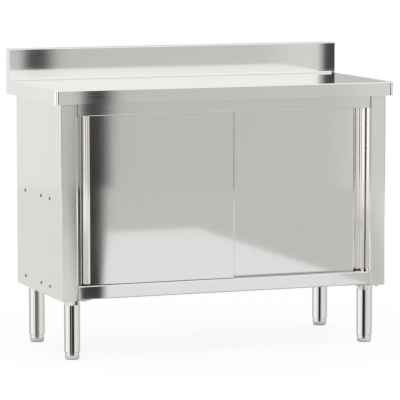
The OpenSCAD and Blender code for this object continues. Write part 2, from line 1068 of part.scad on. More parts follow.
worktop();
worktop_nuts();
top_channel_front();
top_channel_rear();
side_panel_left();
side_panel_right();
back_panel();
back_rivets();
bottom_shelf();
middle_shelf();
shelf_brackets();
shelf_channel();
base_channel_left();
base_channel_right();
side_screws();
side_nuts();
front_rail();
track_front();
track_rear();
track_screws();
track_stops();
floor_guide();
guide_screws();
leg_plate_front_left();
leg_plate_front_right();
leg_plate_rear_left();
leg_plate_rear_right();
leg_tube_front_left();
leg_tube_front_right();
leg_tube_rear_left();
leg_tube_rear_right();
leg_insert_front_left();
leg_insert_front_right();
leg_insert_rear_left();
leg_insert_rear_right();
leg_bolts();
leg_nuts();
foot_front_left();
foot_front_right();
foot_rear_left();
foot_rear_right();
door_left_skin();
door_left_liner();
door_left_channel();
door_left_hanger_outer();
door_left_hanger_inner();
door_left_screws();
door_left_axles();
door_left_rollers_outer();
door_left_rollers_inner();
door_right_skin();
door_right_liner();
door_right_channel();
door_right_hanger_outer();
door_right_hanger_inner();
door_right_screws();
door_right_axles();
door_right_rollers_outer();
door_right_rollers_inner();
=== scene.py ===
"""Looks of a stainless steel work table with sliding doors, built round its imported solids.

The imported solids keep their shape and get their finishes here. Small turned and pressed
pieces, such as screws, rivets, rollers and rubber stops, are built again with the detail
that their plain solids lack. All lengths are in metres.
"""

import json
import logging
import math
from collections.abc import Iterable, Sequence
from dataclasses import dataclass, field
from enum import Enum
from typing import Any

import bmesh
import bpy
from mathutils import Matrix, Vector

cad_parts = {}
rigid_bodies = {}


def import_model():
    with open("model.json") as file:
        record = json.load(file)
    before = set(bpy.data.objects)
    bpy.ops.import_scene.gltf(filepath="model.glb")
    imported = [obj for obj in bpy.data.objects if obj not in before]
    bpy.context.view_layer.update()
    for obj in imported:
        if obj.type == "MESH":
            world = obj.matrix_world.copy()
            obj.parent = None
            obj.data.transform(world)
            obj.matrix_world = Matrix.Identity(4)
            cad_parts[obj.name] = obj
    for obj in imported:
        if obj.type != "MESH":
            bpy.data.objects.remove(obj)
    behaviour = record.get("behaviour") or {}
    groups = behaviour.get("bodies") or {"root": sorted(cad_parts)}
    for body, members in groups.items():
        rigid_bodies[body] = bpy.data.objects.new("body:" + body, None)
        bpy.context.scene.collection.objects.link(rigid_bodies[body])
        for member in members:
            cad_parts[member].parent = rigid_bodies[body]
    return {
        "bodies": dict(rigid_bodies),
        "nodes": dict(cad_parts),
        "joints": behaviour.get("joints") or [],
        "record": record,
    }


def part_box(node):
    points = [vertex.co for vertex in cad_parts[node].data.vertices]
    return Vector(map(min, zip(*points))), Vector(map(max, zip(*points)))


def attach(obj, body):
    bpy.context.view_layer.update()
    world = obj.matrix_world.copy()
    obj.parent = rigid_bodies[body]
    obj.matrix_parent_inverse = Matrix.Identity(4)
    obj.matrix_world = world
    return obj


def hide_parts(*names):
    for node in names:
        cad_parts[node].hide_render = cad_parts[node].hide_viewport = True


LOG = logging.getLogger("work_table")
Point = tuple[float, float, float]
Profile = Sequence[tuple[float, float]]


# ---- Finishes -----------------------------------------------------------------


class Grain(Enum):
    """Direction in which a steel surface was ground, as its scale along x, y and z."""

    ALONG_X = (4.0, 420.0, 420.0)
    ALONG_Z = (420.0, 420.0, 4.0)
    ROUND_Z = (12.0, 12.0, 900.0)
    NONE = (260.0, 260.0, 260.0)


class NodeBench:
    """Lays out the nodes of one material."""

    def __init__(self, name: str) -> None:
        """Starts a node material.

        Args:
            name: Name of the material.
        """
        self.material = bpy.data.materials.new(name)
        self.material.use_nodes = True
        self.tree = self.material.node_tree
        self.tree.nodes.clear()
        self.output = self.tree.nodes.new("ShaderNodeOutputMaterial")

    def node(self, kind: str, **values: Any) -> bpy.types.Node:
        """Adds a node and sets its properties.

        Args:
            kind: Node type.
            **values: Properties of the node.

        Returns:
            The new node.
        """
        made = self.tree.nodes.new(kind)
        for name, value in values.items():
            setattr(made, name, value)
        return made

    def link(self, source: bpy.types.NodeSocket, target: bpy.types.NodeSocket) -> None:
        """Joins an output to an input."""
        self.tree.links.new(source, target)

    def noise(self, scale: Sequence[float], detail: float, turn: float = 0.0) -> bpy.types.NodeSocket:
        """Adds noise in the object's own space, stretched by scale.

        Args:
            scale: Scale along x, y and z, per metre.
            detail: Octaves of the noise.
            turn: Turn of the pattern about y, in radians.

        Returns:
            The noise's value output.
        """
        place = self.node("ShaderNodeTexCoord")
        stretch = self.node("ShaderNodeMapping")
        stretch.inputs["Scale"].default_value = scale
        stretch.inputs["Rotation"].default_value = (0.0, turn, 0.0)
        made = self.node("ShaderNodeTexNoise")
        made.inputs["Scale"].default_value = 1.0
        made.inputs["Detail"].default_value = detail
        made.inputs["Roughness"].default_value = 0.6
        self.link(place.outputs["Object"], stretch.inputs["Vector"])
        self.link(stretch.outputs["Vector"], made.inputs["Vector"])
        return made.outputs["Fac"]

    def spread(self, value: bpy.types.NodeSocket, low: float, high: float) -> bpy.types.NodeSocket:
        """Maps the middle of a noise's range onto low to high.

        Args:
            value: The noise.
            low: Result where the noise is 0.3.
            high: Result where the noise is 0.7.

        Returns:
            The mapped value.
        """
        mapped = self.node("ShaderNodeMapRange")
        mapped.inputs["From Min"].default_value = 0.3
        mapped.inputs["From Max"].default_value = 0.7
        mapped.inputs["To Min"].default_value = low
        mapped.inputs["To Max"].default_value = high
        self.link(value, mapped.inputs["Value"])
        return mapped.outputs["Result"]

    def math(
        self, operation: str, a: bpy.types.NodeSocket, b: bpy.types.NodeSocket
    ) -> bpy.types.NodeSocket:
        """Combines two values.

        Args:
            operation: Name of the math operation.
            a: First value.
            b: Second value.

        Returns:
            The result.
        """
        made = self.node("ShaderNodeMath", operation=operation)
        self.link(a, made.inputs[0])
        self.link(b, made.inputs[1])
        return made.outputs["Value"]

    def tint(
        self, factor: bpy.types.NodeSocket, low: Sequence[float], high: Sequence[float]
    ) -> bpy.types.NodeSocket:
        """Mixes two colours by a factor.

        Args:
            factor: Mixing factor, 0 to 1.
            low: Colour at 0.
            high: Colour at 1.

        Returns:
            The mixed colour.
        """
        mix = self.node("ShaderNodeMix", data_type="RGBA")
        mix.inputs[6].default_value = (*low, 1.0)
        mix.inputs[7].default_value = (*high, 1.0)
        self.link(factor, mix.inputs[0])
        return mix.outputs[2]

    def painted_corner_shade(self, colour: bpy.types.NodeSocket, amount: float) -> bpy.types.NodeSocket:
        """Darkens a colour in tight corners and gaps with painted shade, found by ambient occlusion.

        Args:
            colour: Colour of the clean surface.
            amount: Share of the colour that the painted shade takes in the tightest corners.

        Returns:
            The colour with painted shade in its corners.
        """
        # Painted shade: ambient occlusion darkens the colour towards near black in tight corners and gaps.
        corner = self.node("ShaderNodeAmbientOcclusion", samples=6)
        corner.inputs["Distance"].default_value = 0.009
        open_air = self.node("ShaderNodeMapRange")
        open_air.inputs["From Min"].default_value = 0.35
        open_air.inputs["From Max"].default_value = 0.85
        open_air.inputs["To Min"].default_value = amount
        open_air.inputs["To Max"].default_value = 0.0
        self.link(corner.outputs["AO"], open_air.inputs["Value"])
        mix = self.node("ShaderNodeMix", data_type="RGBA")
        mix.inputs[7].default_value = (0.02, 0.019, 0.017, 1.0)
        self.link(open_air.outputs["Result"], mix.inputs[0])
        self.link(colour, mix.inputs[6])
        return mix.outputs[2]

    def bump(
        self,
        height: bpy.types.NodeSocket,
        distance: float,
        strength: float = 1.0,
        under: bpy.types.NodeSocket | None = None,
    ) -> bpy.types.NodeSocket:
        """Adds a bump.

        Args:
            height: Height of the bump, 0 to 1.
            distance: Height that 1 stands for, in metres.
            strength: Share of the bump that shows.
            under: Normal that the bump is laid on.

        Returns:
            The bumped normal.
        """
        made = self.node("ShaderNodeBump")
        made.inputs["Distance"].default_value = distance
        made.inputs["Strength"].default_value = strength
        self.link(height, made.inputs["Height"])
        if under is not None:
            self.link(under, made.inputs["Normal"])
        return made.outputs["Normal"]

    def principled(self, metallic: float, anisotropic: float = 0.0) -> bpy.types.Node:
        """Adds the surface shader and joins it to the output.

        Args:
            metallic: 1 for metal, 0 for plastic and rubber.
            anisotropic: Stretch of the highlights across the grain.

        Returns:
            The shader node.
        """
        shader = self.node("ShaderNodeBsdfPrincipled")
        shader.inputs["Metallic"].default_value = metallic
        shader.inputs["Anisotropic"].default_value = anisotropic
        self.link(shader.outputs["BSDF"], self.output.inputs["Surface"])
        return shader


@dataclass(frozen=True)
class SteelFinish:
    """Ground stainless or zinc-plated steel."""

    name: str
    slot: str
    tone: Point
    grain: Grain
    roughness: float = 0.10
    grain_depth: float = 0.000004
    buckle: float = 0.0
    streaks: float = 0.012
    # Share of painted shade that darkens the colour in tight corners.
    painted_corner_shade: float = 0.5

    def build(self) -> bpy.types.Material:
        """Builds the material.

        Returns:
            A metal whose tone and roughness vary along the grain, with faint smears and painted shade in its
            tight corners.
        """
        bench = NodeBench(self.name)
        shader = bench.principled(metallic=1.0)
        fine = bench.noise(self.grain.value, 4.0)
        streak = bench.noise([value / 2.0 for value in self.grain.value], 3.0)
        smear = bench.noise((7.0, 7.0, 7.0), 3.0, turn=0.4)
        dark = tuple(channel * (1.0 - self.streaks) for channel in self.tone)
        light = tuple(min(channel * (1.0 + self.streaks), 1.0) for channel in self.tone)
        sheet = bench.tint(bench.spread(streak, 0.0, 1.0), dark, light)
        # Painted shade darkens the grained colour in tight corners.
        bench.link(bench.painted_corner_shade(sheet, self.painted_corner_shade), shader.inputs["Base Color"])
        rough = bench.math(
            "ADD",
            bench.spread(fine, 0.75 * self.roughness, 1.1 * self.roughness),
            bench.spread(smear, 0.0, 0.3 * self.roughness),
        )
        bench.link(rough, shader.inputs["Roughness"])
        normal = bench.bump(fine, self.grain_depth, 0.5)
        if self.buckle > 0.0:
            swell = bench.noise((2.2, 2.2, 2.2), 0.0)
            normal = bench.bump(swell, self.buckle, 1.0, normal)
        bench.link(normal, shader.inputs["Normal"])
        return bench.material


@dataclass(frozen=True)
class MouldedFinish:
    """Moulded nylon or rubber."""

    name: str
    slot: str
    tone: Point
    roughness: float = 0.45
    pores: float = 0.00003

    def build(self) -> bpy.types.Material:
        """Builds the material.

        Returns:
            A dull material with a fine moulded texture and slightly uneven colour.
        """
        bench = NodeBench(self.name)
        shader = bench.principled(metallic=0.0)
        texture = bench.noise((1400.0, 1400.0, 1400.0), 3.0)
        cloud = bench.noise((40.0, 40.0, 40.0), 3.0)
        dark = tuple(channel * 0.9 for channel in self.tone)
        bench.link(
            bench.tint(bench.spread(cloud, 0.0, 1.0), dark, self.tone),
            shader.inputs["Base Color"],
        )
        bench.link(
            bench.spread(cloud, self.roughness - 0.06, self.roughness + 0.08),
            shader.inputs["Roughness"],
        )
        bench.link(bench.bump(texture, self.pores, 0.4), shader.inputs["Normal"])
        return bench.material


Finish = SteelFinish | MouldedFinish


class FinishRack:
    """All finishes of the table, each built once when it is first asked for."""

    SHEET = (0.808, 0.798, 0.785)
    TOP = (0.850, 0.845, 0.835)
    WORN = (0.66, 0.665, 0.67)

    def __init__(self) -> None:
        """Lists the finishes."""
        # Steel finishes darken their tight corners with painted shade; where a finish sets its strength, it
        # is the last keyword.
        self.top = SteelFinish(
            "top_sheet", "sheet_steel", self.TOP, Grain.ALONG_X, 0.055, buckle=0.0002, painted_corner_shade=0.1
        )
        self.front = SteelFinish("front_sheet", "sheet_steel", self.SHEET, Grain.ALONG_X, 0.05, painted_corner_shade=0.1)
        self.door = SteelFinish(
            "door_sheet", "sheet_steel", self.SHEET, Grain.ALONG_Z, 0.045, buckle=0.00006, painted_corner_shade=0.12
        )
        self.side = SteelFinish(
            "side_sheet", "sheet_steel", self.SHEET, Grain.ALONG_Z, 0.08,
            streaks=0.02, buckle=0.0002, painted_corner_shade=0.3,
        )
        self.tube = SteelFinish("leg_tube_steel", "tube_steel", self.SHEET, Grain.ALONG_Z, 0.07)
        self.turned = SteelFinish("turned_steel", "turned_steel", self.SHEET, Grain.ROUND_Z, 0.13)
        self.track = SteelFinish("track_steel", "track_steel", self.SHEET, Grain.ALONG_X, 0.2)
        self.mill = SteelFinish("mill_steel", "stiffener_steel", self.WORN, Grain.ALONG_X, 0.32, streaks=0.08)
        self.plate = SteelFinish("plate_steel", "stiffener_steel", self.SHEET, Grain.ALONG_X, 0.2)
        self.screw = SteelFinish("dark_screw", "bright_fastener", (0.20, 0.20, 0.20), Grain.NONE, 0.3)
        self.bright = SteelFinish("bright_fastener", "bright_fastener", self.SHEET, Grain.NONE, 0.14)
        self.white = MouldedFinish("white_nylon", "white_nylon", (0.80, 0.80, 0.77))
        self.black = MouldedFinish("black_nylon", "black_nylon", (0.045, 0.045, 0.047))
        self.rubber = MouldedFinish("rubber_stop", "rubber_stop", (0.05, 0.05, 0.05), 0.6, 0.00006)
        self._built: dict[str, bpy.types.Material] = {}

    def material(self, finish: Finish) -> bpy.types.Material:
        """Material of a finish.

        Args:
            finish: One of the rack's finishes.

        Returns:
            The finish's material, built on first use.
        """
        if finish.name not in self._built:
            self._built[finish.name] = finish.build()
        return self._built[finish.name]


# ---- Bench: shapes and assembly -----------------------------------------------


class Shape:
    """A mesh under construction, in the table's own frame."""

    def __init__(self) -> None:
        """Starts an empty mesh."""
        self.mesh = bmesh.new()

    def lathe(self, profile: Profile, place: Matrix, steps: int = 48) -> None:
        """Turns a profile about the z axis of place.

        Args:
            profile: Closed outline as (radius, height) pairs, in order round the section.
            place: Where the turned piece goes; its z axis is the turning axis.
            steps: Faces round the piece.
        """
        rings: list[list[bmesh.types.BMVert]] = []
        for radius, height in profile:
            if radius < 1e-7:
                rings.append([self.mesh.verts.new(place @ Vector((0.0, 0.0, height)))])
                continue
            rings.append(
                [
                    self.mesh.verts.new(
                        place
                        @ Vector(
                            (
                                radius * math.cos(math.tau * step / steps),
                                radius * math.sin(math.tau * step / steps),
                                height,
                            )
                        )
                    )
                    for step in range(steps)
                ]
            )
        count = len(rings)
        closed = all(radius > 1e-7 for radius, _ in profile)
        for index in range(count if closed else count - 1):
            low, high = rings[index], rings[(index + 1) % count]
            for step in range(steps):
                after = (step + 1) % steps
                corners = [
                    low[step % len(low)],
                    low[after % len(low)],
                    high[after % len(high)],
                    high[step % len(high)],
                ]
                unique = list(dict.fromkeys(corners))
                if len(unique) >= 3:
                    self.mesh.faces.new(unique)

    def prism(self, outline: Profile, low: float, high: float, place: Matrix) -> None:
        """Extrudes an outline along the z axis of place.

        Args:
            outline: Closed outline in the xy plane of place, in order.
            low: Start of the prism.
            high: End of the prism.
            place: Where the prism goes.
        """
        ends = [
            [self.mesh.verts.new(place @ Vector((x, y, z))) for x, y in outline]
            for z in (low, high)
        ]
        self.mesh.faces.new(reversed(ends[0]))
        self.mesh.faces.new(ends[1])
        for index in range(len(outline)):
            after = (index + 1) % len(outline)
            self.mesh.faces.new(
                (ends[0][index], ends[0][after], ends[1][after], ends[1][index])
            )

    def ribbon(self, path: Profile, thickness: float, low: float, high: float, place: Matrix) -> None:
        """Extrudes a thin strip that follows an open path.

        Args:
            path: Points of the strip's outer side, in the xy plane of place.
            thickness: Thickness of the strip, to the left of the path.
            low: Start of the strip along z.
            high: End of the strip along z.
            place: Where the strip goes.
        """
        points = [Vector(point) for point in path]
        inner = []
        for index, point in enumerate(points):
            before = points[max(index - 1, 0)]
            after = points[min(index + 1, len(points) - 1)]
            arrive = (point - before if index > 0 else after - point).normalized()
            leave = (after - point if index < len(points) - 1 else arrive).normalized()
            across = Vector((-arrive.y - leave.y, arrive.x + leave.x)).normalized()
            reach = thickness / across.dot(Vector((-arrive.y, arrive.x)))
            inner.append(point + across * reach)
        outline = [(point.x, point.y) for point in (*points, *reversed(inner))]
        self.prism(outline, low, high, place)

    def hexagon(self, across: float, low: float, high: float, bore: float, place: Matrix) -> None:
        """Adds a hexagonal head or nut with a turned chamfer on its upper face.

        Args:
            across: Size across the corners.
            low: Start along z.
            high: End along z.
            bore: Radius of the hole, or 0 for a solid head.
            place: Where it goes.
        """
        flat = across * math.cos(math.pi / 6.0) / 2.0
        steps = 48
        rings: list[list[bmesh.types.BMVert]] = []
        profile = ((None, low), (None, high), (0.96 * flat, high), (max(bore, 0.0), high))
        if bore > 0.0:
            profile = (*profile, (bore, low))
        for number, (radius, height) in enumerate(profile):
            ring = []
            for step in range(steps):
                turn = math.tau * step / steps
                side = (turn + math.pi / 6.0) % (math.pi / 3.0) - math.pi / 6.0
                edge = flat / math.cos(side)
                reach = edge if radius is None else radius
                drop = 0.58 * (edge - 0.96 * flat) if number == 1 else 0.0
                spot = Vector((reach * math.cos(turn), reach * math.sin(turn), height - drop))
                ring.append(self.mesh.verts.new(place @ spot))
            rings.append(ring)
        if bore > 0.0:
            rings.append(rings[0])
        for lower, upper in zip(rings, rings[1:]):
            for step in range(steps):
                after = (step + 1) % steps
                self.mesh.faces.new((lower[step], lower[after], upper[after], upper[step]))
        if bore <= 0.0:
            self.mesh.faces.new(reversed(rings[0]))
            bmesh.ops.remove_doubles(self.mesh, verts=rings[3], dist=1e-7)

    def block(self, low: Point, high: Point, radius: float, steps: int = 3) -> None:
        """Adds a box with rounded edges.

        Args:
            low: Lowest corner.
            high: Highest corner.
            radius: Radius of the edges.
            steps: Faces across each rounded edge.
        """
        size = Vector(high) - Vector(low)
        middle = (Vector(high) + Vector(low)) / 2.0
        made = bmesh.new()
        bmesh.ops.create_cube(made, size=1.0)
        bmesh.ops.scale(made, vec=size, verts=made.verts)
        bmesh.ops.bevel(
            made,
            geom=list(made.edges),
            offset=radius,
            segments=steps,
            profile=0.5,
            affect="EDGES",
        )
        bmesh.ops.translate(made, vec=middle, verts=made.verts)
        self.take(made)

    def take(self, other: bmesh.types.BMesh, place: Matrix | None = None) -> None:
        """Copies another mesh in and frees it.

        Args:
            other: The mesh to copy.
            place: Where it goes, or None to leave it as it lies.
        """
        if place is not None:
            bmesh.ops.transform(other, matrix=place, verts=other.verts)
        twins = {vert: self.mesh.verts.new(vert.co) for vert in other.verts}
        for face in other.faces:
            self.mesh.faces.new([twins[vert] for vert in face.verts])
        other.free()

    def finish(self, name: str) -> bpy.types.Object:
        """Ends the mesh and puts its object in the scene.

        Args:
            name: Name of the piece.

        Returns:
            The new object.
        """
        bmesh.ops.recalc_face_normals(self.mesh, faces=self.mesh.faces)
        data = bpy.data.meshes.new(name)
        self.mesh.to_mesh(data)
        self.mesh.free()
        made = bpy.data.objects.new(name, data)
        bpy.context.scene.collection.objects.link(made)
        return made


class Bench:
    """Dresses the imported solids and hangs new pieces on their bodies."""

    def __init__(self, frame: dict[str, Any], rack: FinishRack) -> None:
        """Keeps the frame and the finishes.

        Args:
            rack: The table's finishes.
        """
        self.nodes: dict[str, bpy.types.Object] = frame["nodes"]
        self.rack = rack

    def dress(self, names: Iterable[str], finish: Finish) -> None:
        """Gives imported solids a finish.

        Args:
            names: Nodes to dress.
            finish: Their finish.
        """
        for name in names:
            data = self.nodes[name].data
            data.materials.clear()
            data.materials.append(self.rack.material(finish))
            LOG.info("dressed %s in %s", name, finish.name)

    def hang(
        self,
        piece: bpy.types.Object,
        body: str,
        finish: Finish,
        instead_of: Sequence[str] = (),
        smooth_below: float = 35.0,
    ) -> bpy.types.Object:
        """Hangs a new piece on a body and gives it its finish.

        Args:
            piece: The new piece.
            body: Body that it moves with.
            finish: Its finish.
            instead_of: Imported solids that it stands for.
            smooth_below: Faces that meet under this angle in degrees are shaded smooth.

        Returns:
            The piece.
        """
        piece.data.materials.append(self.rack.material(finish))
        piece.data.shade_smooth()
        piece.data.set_sharp_from_angle(angle=math.radians(smooth_below))
        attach(piece, body)
        if instead_of:
            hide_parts(*instead_of)
        LOG.info("hung %s on %s", piece.name, body)
        return piece


Box = tuple[Vector, Vector]


def solids_of(bench: "Bench", name: str) -> list[Box]:
    """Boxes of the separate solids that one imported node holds.

    Args:
        bench: The bench that knows the node.
        name: The node.

    Returns:
        Lowest and highest corner of each solid, in order along x, y and z.
    """
    mesh = bmesh.new()
    mesh.from_mesh(bench.nodes[name].data)
    bmesh.ops.remove_doubles(mesh, verts=mesh.verts, dist=1e-6)
    boxes: list[Box] = []
    seen: set[bmesh.types.BMVert] = set()
    for start in mesh.verts:
        if start in seen:
            continue
        seen.add(start)
        island, border = [start], [start]
        while border:
            for edge in border.pop().link_edges:
                for vert in edge.verts:
                    if vert not in seen:
                        seen.add(vert)
                        island.append(vert)
                        border.append(vert)
        low = Vector([min(vert.co[axis] for vert in island) for axis in range(3)])
        high = Vector([max(vert.co[axis] for vert in island) for axis in range(3)])
        boxes.append((low, high))
    mesh.free()
    return sorted(boxes, key=lambda box: tuple(round(value, 5) for value in box[0]))


def cut(blank: Shape, tool: Shape) -> bmesh.types.BMesh:
    """Cuts one shape out of another.

    Args:
        blank: The shape to cut.
        tool: The shape that is taken away.

    Returns:
        What is left.
    """
    made, cutter = blank.finish("blank"), tool.finish("tool")
    recess = made.modifiers.new("recess", "BOOLEAN")
    recess.operation = "DIFFERENCE"
    recess.solver = "EXACT"
    recess.object = cutter
    graph = bpy.context.evaluated_depsgraph_get()
    left = bmesh.new()
    left.from_mesh(made.evaluated_get(graph).to_mesh())
    for spare in (made, cutter):
        bpy.data.objects.remove(spare)
    return left


def facing(spot: Vector, axis: Vector) -> Matrix:
    """Place at spot whose z axis points along axis.

    Args:
        spot: Origin of the place.
        axis: Direction of its z axis.

    Returns:
        The place as a matrix.
    """
    return Matrix.Translation(spot) @ axis.to_track_quat("Z", "Y").to_matrix().to_4x4()


# ---- Studio -------------------------------------------------------------------


@dataclass
class CameraStand:
    """Camera on its stand."""

    spot: Point = (-3.245, -8.687, 1.505)
    yaw: float = 20.5
    pitch: float = 6.4
    lens: float = 256.8

    def build(self) -> bpy.types.Object:
        """Puts the camera in the scene.

        Returns:
            The camera.
        """
        data = bpy.data.cameras.new("camera")
        data.lens = self.lens
        data.sensor_width = 36.0
        data.clip_start, data.clip_end = 0.1, 100.0
        camera = bpy.data.objects.new("camera", data)
        camera.location = self.spot
        camera.rotation_euler = (math.radians(90.0 - self.pitch), 0.0, math.radians(-self.yaw))
        bpy.context.scene.collection.objects.link(camera)
        bpy.context.scene.camera = camera
        return camera


@dataclass
class Floor:
    """Plain pale floor that keeps a soft shadow."""

    half: float = 40.0
    paper: float = 0.88
    shadow: float = 0.13

    def build(self) -> None:
        """Lays the floor."""
        mesh = bmesh.new()
        bmesh.ops.create_grid(mesh, x_segments=1, y_segments=1, size=self.half)
        shape = Shape()
        shape.take(mesh)
        floor = shape.finish("floor")
        floor.data.materials.append(self._material())

    def _material(self) -> bpy.types.Material:
        """Builds the floor's material.

        Returns:
            A white that shows plain to the camera, with part of the shadow.
        """
        bench = NodeBench("floor")
        paper = bench.node("ShaderNodeBsdfDiffuse")
        paper.inputs["Color"].default_value = (self.paper, self.paper, self.paper, 1.0)
        bright = bench.node("ShaderNodeBsdfDiffuse")
        bright.inputs["Color"].default_value = (1.0, 1.0, 1.0, 1.0)
        plain = bench.node("ShaderNodeEmission")
        plain.inputs["Strength"].default_value = 1.0
        seen = bench.node("ShaderNodeMixShader")
        seen.inputs["Fac"].default_value = self.shadow
        bench.link(plain.outputs["Emission"], seen.inputs[1])
        bench.link(bright.outputs["BSDF"], seen.inputs[2])
        path = bench.node("ShaderNodeLightPath")
        mix = bench.node("ShaderNodeMixShader")
        bench.link(path.outputs["Is Camera Ray"], mix.inputs["Fac"])
        bench.link(paper.outputs["BSDF"], mix.inputs[1])
        bench.link(seen.outputs["Shader"], mix.inputs[2])
        bench.link(mix.outputs["Shader"], bench.output.inputs["Surface"])
        return bench.material


@dataclass(frozen=True)
class Cloth:
    """One cloth on the studio floor, as its outline and its tone, or one tone per corner."""

    outline: Sequence[tuple[float, float]]
    tone: float | Sequence[float]

    def tone_at(self, corner: int) -> float:
        """Tone at one corner."""
        return self.tone[corner] if isinstance(self.tone, Sequence) else self.tone


@dataclass
class Screens:
    """Grey and dark screens and cloths, which show only as reflections in the steel."""

    radius: float = 5.08
    front_top: float = 1.2
    back_top: float = 2.6
    glow_top: float = 3.4
    glow: float = 1.08
    back_glow: float = 0.86
    tones: Sequence[tuple[float, float]] = (
        (-180.0, 0.88), (-150.0, 0.90), (-120.0, 0.90), (-110.0, 1.25), (-62.0, 1.25),
        (-58.0, 0.80), (-44.0, 0.75), (-41.0, 0.10), (-35.0, 0.10), (-33.0, 1.5),
        (-15.0, 1.5), (-13.0, 0.08), (4.0, 0.08), (7.0, 0.64), (11.8, 0.66),
        (12.2, 0.02), (13.2, 0.02), (14.0, 0.60), (26.0, 0.63), (28.0, 0.74),
        (33.0, 0.74), (35.0, 0.06), (58.0, 0.06), (62.0, 1.2), (90.0, 1.2), (94.0, 0.10),
        (122.0, 0.10), (126.0, 0.56), (165.0, 0.56), (180.0, 0.88),
    )
    card: Sequence[tuple[float, float]] = ((0.905, 0.74), (0.935, 0.06), (1.25, 0.06))
    card_row: float = -0.70
    card_heights: tuple[float, float] = (0.79, 1.05)
    warmth: tuple[float, float, float] = (1.01, 1.0, 0.98)
    cloths: Sequence[Cloth] = (
        Cloth(((0.60, -3.32), (1.40, -5.6), (6.0, -5.6), (6.0, -3.32)), 0.62),
        Cloth(((-0.45, -3.4), (0.62, -3.4), (1.42, -5.6), (-0.45, -5.6)), 0.74),
        Cloth(((1.05, -3.32), (2.4, -3.32), (2.0, -1.3), (1.05, -1.3)), 0.62),
        Cloth(((1.17, -1.55), (1.9, -1.55), (3.3, -5.6), (2.85, -5.6)), 0.84),
        Cloth(((-0.95, -0.45), (-0.38, -0.45), (0.10, -1.85), (0.62, -3.4), (-0.45, -3.4)), 0.80),
        Cloth(((-2.4, -5.4), (-0.6, -5.4), (-0.6, -3.7), (-2.4, -3.7)), 1.2),
        Cloth(((2.6, -1.6), (7.0, -2.6), (7.0, 3.0), (2.6, 3.0)), 1.35),
        Cloth(((-0.6, 1.0), (1.9, 1.0), (2.6, 4.5), (-0.6, 4.5)), 0.55),
        Cloth(((0.1, 1.0), (0.25, 1.0), (0.7, 4.5), (0.4, 4.5)), 0.28),
        Cloth(((0.8, -0.2), (2.5, -0.2), (2.5, 1.0), (0.8, 1.0)), 0.50),
        Cloth(((1.2, -0.2), (1.35, -0.2), (1.6, 1.0), (1.4, 1.0)), 0.25),
        Cloth(((-0.38, -0.5), (0.95, -0.5), (0.95, -1.28), (-0.38, -1.28)), 0.12),
        Cloth(((-0.75, 0.9), (-2.6, 0.9), (-3.2, 4.9), (-1.0, 4.9)), 0.83),
    )
    strip: Cloth = Cloth(((-0.12, -1.38), (-0.055, -1.365), (1.15, -4.96), (1.02, -5.00)), 0.04)
    strip_fade: Cloth = Cloth(
        ((-0.055, -1.365), (-0.03, -1.36), (1.20, -4.945), (1.15, -4.96)), (0.04, 0.85, 0.62, 0.04)
    )
    collar_radius: float = 0.085
    collar_height: float = 0.165
    collars: Sequence[tuple[float, float, float, Sequence[tuple[float, float]]]] = (
        (-0.503, -0.2005, -17.9, (
            (-28.0, 0.75), (-27.0, 0.03), (-11.5, 0.03), (-10.5, 0.35),
            (-3.5, 0.35), (-2.5, 0.03), (25.0, 0.03), (26.0, 0.80),
        )),
        (0.503, -0.2005, -23.8, ((-26.0, 0.90), (-24.0, 0.03), (9.0, 0.03), (14.0, 0.62))),
        (-0.503, 0.1745, -17.2, ((-25.0, 0.90), (-23.0, 0.20), (14.0, 0.20), (30.0, 0.70))),
        (0.503, 0.1745, -22.8, ((-18.0, 0.80), (-15.0, 0.03), (13.0, 0.03), (15.0, 0.72))),
    )

    def build(self) -> None:
        """Stands the screens up and lays the cloths on the floor."""
        self._ring()
        self._card()
        for number, collar in enumerate(self.collars):
            self._collar(f"collar_{number}", *collar)
        laid = (*self.cloths, self.strip, self.strip_fade)
        for number, cloth in enumerate(laid):
            mesh = bmesh.new()
            layer = mesh.verts.layers.float.new("tone")
            corners = []
            for corner, (x, y) in enumerate(cloth.outline):
                vert = mesh.verts.new((x, y, 0.001 * (number + 1)))
                vert[layer] = cloth.tone_at(corner)
                corners.append(vert)
            mesh.faces.new(corners)
            self._place(mesh, f"cloth_{number}")

    def _collar(
        self, name: str, x: float, y: float, front: float, middle_tones: Profile
    ) -> None:
        """Stands a ring of small cards round one leg.

        Args:
            name: Name of the ring.
            x: Where the leg stands, along x.
            y: Where the leg stands, along y.
            front: Azimuth of the ring's middle, in degrees.
            middle_tones: Tones near the middle, as (degrees from the middle, tone).
        """
        tones = (
            (-180.0, 0.58), (-102.0, 0.52), (-88.0, 1.05), (-56.0, 1.12), (-45.0, 0.92),
            *middle_tones, (50.0, 0.90), (75.0, 0.84), (98.0, 0.64), (180.0, 0.58),
        )
        mesh = bmesh.new()
        layer = mesh.verts.layers.float.new("tone")
        columns = []
        for shift, tone in self._filled(tones):
            turn = math.radians(front + shift)
            column = []
            for height in (0.0, self.collar_height):
                spot = (
                    x + self.collar_radius * math.sin(turn),
                    y - self.collar_radius * math.cos(turn),
                    height,
                )
                vert = mesh.verts.new(spot)
                vert[layer] = tone
                column.append(vert)
            columns.append(column)
        for near, far in zip(columns, columns[1:]):
            mesh.faces.new((near[0], far[0], far[1], near[1]))
        self._place(mesh, name)

    @staticmethod
    def _filled(tones: Profile, step: float = 8.0) -> list[tuple[float, float]]:
        """Adds points to a row of tones so that its ring is round.

        Args:
            tones: The row, as (degrees, tone).
            step: Largest step, in degrees.

        Returns:
            The row with the added points.
        """
        row = [tones[0]]
        for (start, tone), (end, last) in zip(tones, tones[1:]):
            count = max(1, math.ceil((end - start) / step))
            for part in range(1, count + 1):
                share = part / count
                row.append((start + (end - start) * share, tone + (last - tone) * share))
        return row

